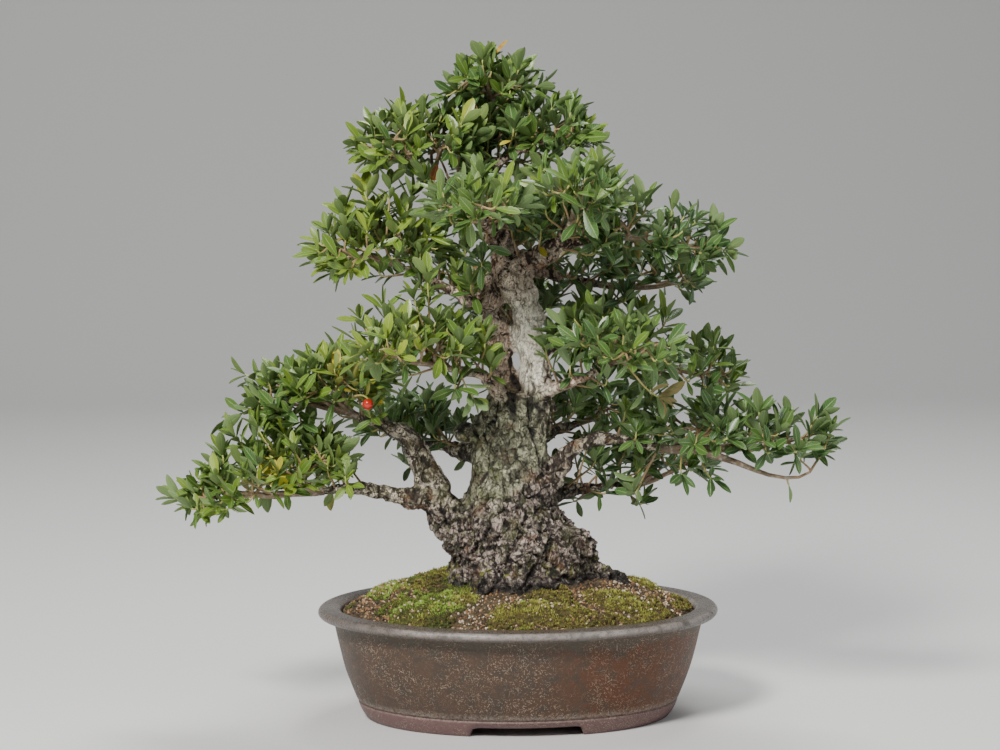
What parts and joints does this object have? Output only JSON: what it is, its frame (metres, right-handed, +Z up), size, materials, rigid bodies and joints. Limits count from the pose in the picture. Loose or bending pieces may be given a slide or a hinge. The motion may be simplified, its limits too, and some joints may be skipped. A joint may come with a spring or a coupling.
{
  "type": "mastic tree bonsai",
  "caption": "Old broadleaf bonsai with a craggy forked trunk, spreading limbs with leafy sprays and a berry, in a shallow oval clay pot with soil and moss.",
  "frame": {"origin": "centre of the whole object's box, on the surface that the pot stands on", "axes": "+Z up; +X to the right along the pot's length, -Y towards the front, from which the picture looks"},
  "size_m": [0.4167, 0.247, 0.4255],
  "materials": {
    "clay": "matte",
    "net": "matte",
    "soil": "matte",
    "moss": "matte",
    "bark": "matte",
    "leaf": "satin",
    "berry": "gloss"
  },
  "bodies": {
    "root": {"pot": "clay", "drain_screen_left": "net", "drain_screen_right": "net", "soil": "soil", "moss_front_left": "moss", "moss_front": "moss", "moss_front_right": "moss", "moss_right": "moss", "moss_left": "moss", "moss_back_right": "moss", "trunk_and_limbs": "bark", "spray_apex": "leaf", "spray_apex_left": "leaf", "spray_apex_right": "leaf", "spray_apex_back": "leaf", "spray_upper_left": "leaf", "spray_upper_front": "leaf", "spray_upper_right": "leaf", "spray_upper_right_front": "leaf", "spray_upper_back": "leaf", "spray_upper_right_back": "leaf", "spray_mid_left": "leaf", "spray_mid_right": "leaf", "spray_left_mid": "leaf", "spray_left_low": "leaf", "spray_left_back": "leaf", "spray_right_mid": "leaf", "spray_right_low": "leaf", "spray_right_back": "leaf", "spray_mid_back": "leaf", "spray_back_low": "leaf", "berry": "berry"}
  },
  "joints": []
}
